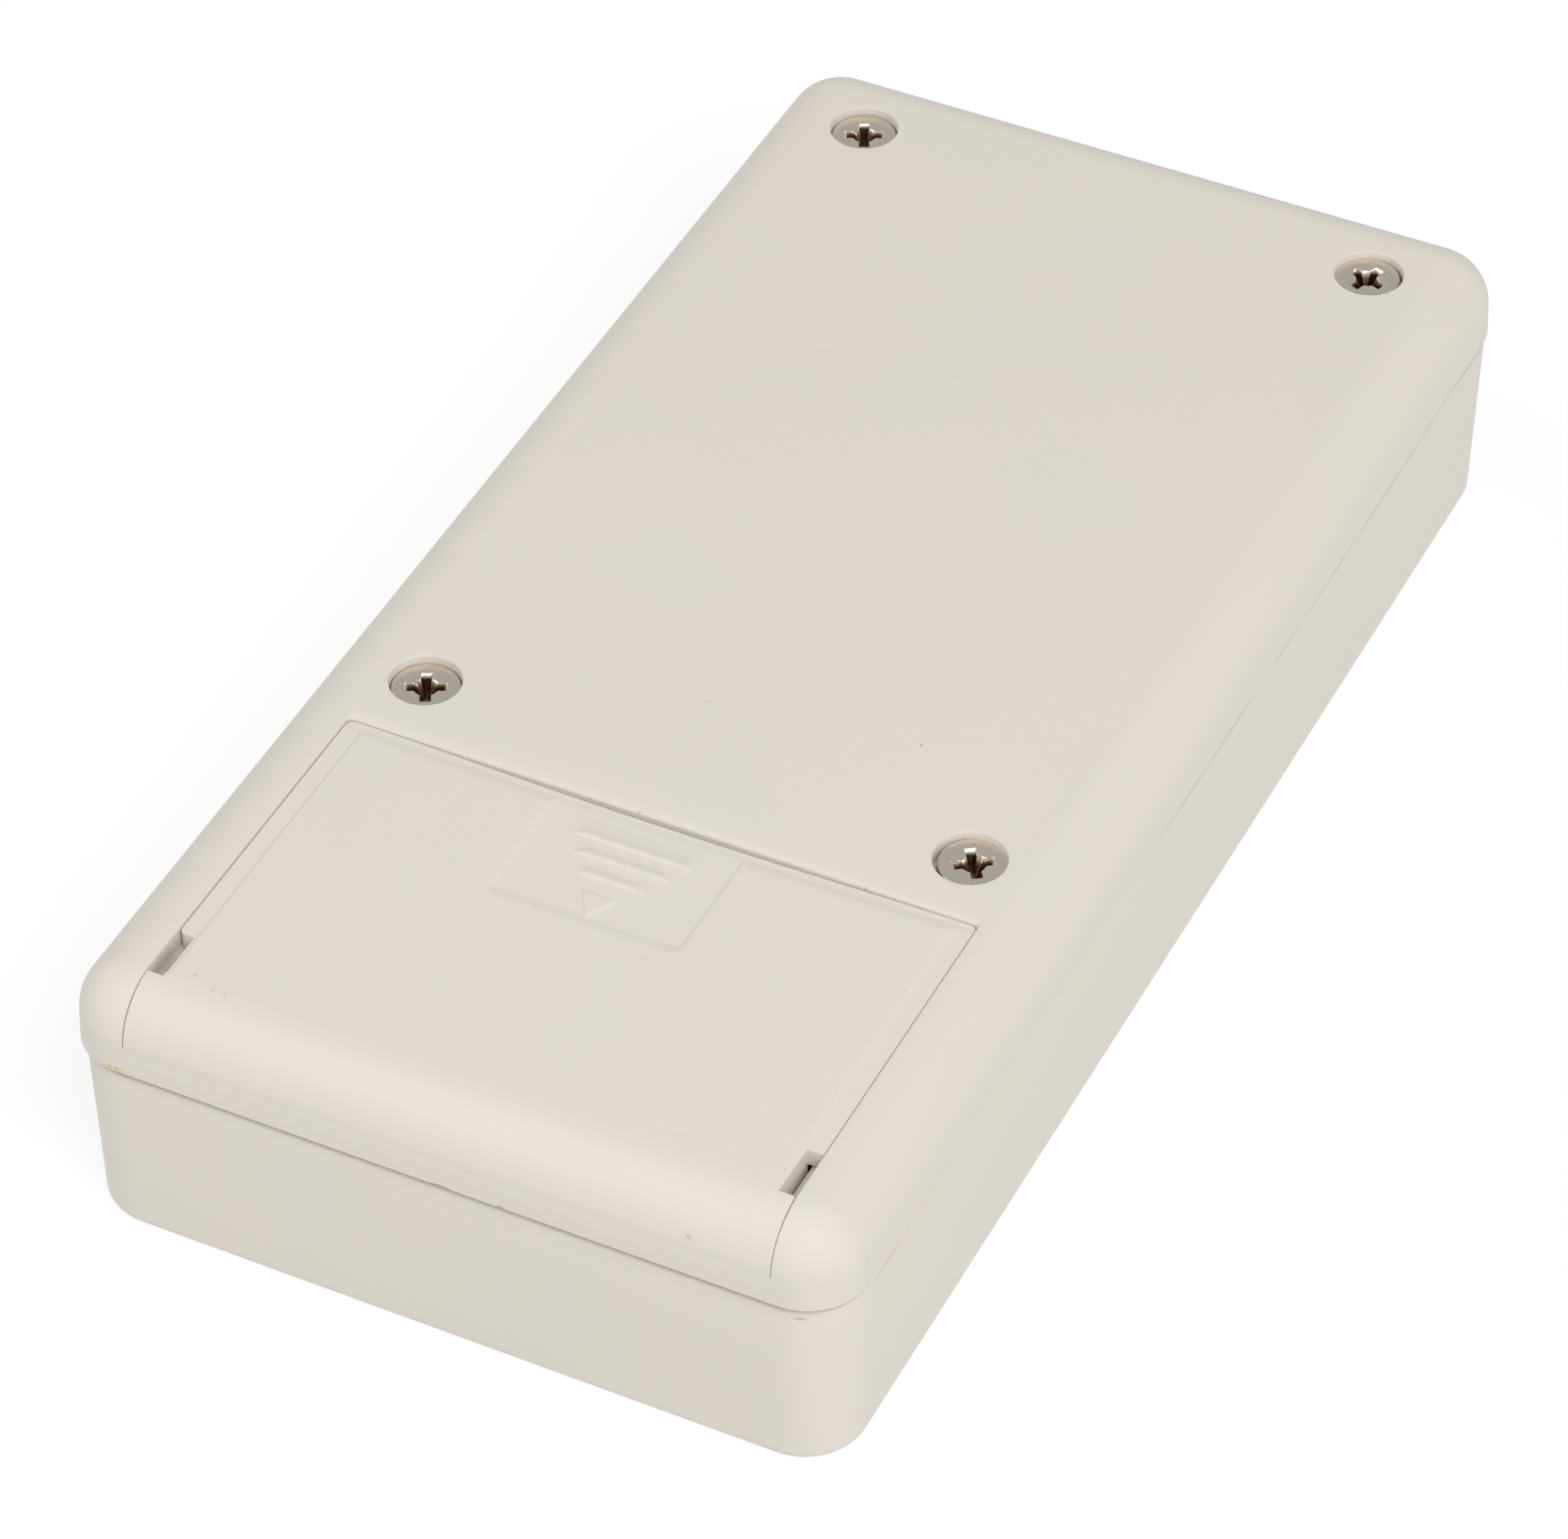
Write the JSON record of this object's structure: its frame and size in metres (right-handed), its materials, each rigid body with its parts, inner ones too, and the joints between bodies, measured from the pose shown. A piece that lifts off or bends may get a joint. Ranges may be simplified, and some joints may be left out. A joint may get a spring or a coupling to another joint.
{
  "type": "handheld enclosure",
  "caption": "Slim moulded handheld enclosure: rounded rear shell screwed to a deep front shell, with a sliding battery lid that wraps over one end.",
  "frame": {"origin": "centre of the front face, on the surface that the case lies on", "axes": "+Z towards the rear side, +Y along the case away from the battery end, +X to the right seen from the rear side with the battery end below"},
  "size_m": [0.0738, 0.1478, 0.0276],
  "materials": {
    "shell_plastic": "fine spark-eroded matte",
    "lid_plastic": "fine spark-eroded matte",
    "screw_nickel": "nickel plated",
    "contact_nickel": "nickel plated"
  },
  "bodies": {
    "case": {"front_shell": "shell_plastic", "rear_shell": "shell_plastic", "case_screws": "screw_nickel", "link_plate": "contact_nickel", "positive_plate": "contact_nickel", "negative_plate": "contact_nickel", "contact_springs": "contact_nickel"},
    "lid": {"battery_lid": "lid_plastic"}
  },
  "joints": [
    {"name": "lid_slide", "type": "slide", "parent": "case", "child": "lid", "axis": [0, -1, 0], "range_m": [0, 0.045]}
  ]
}
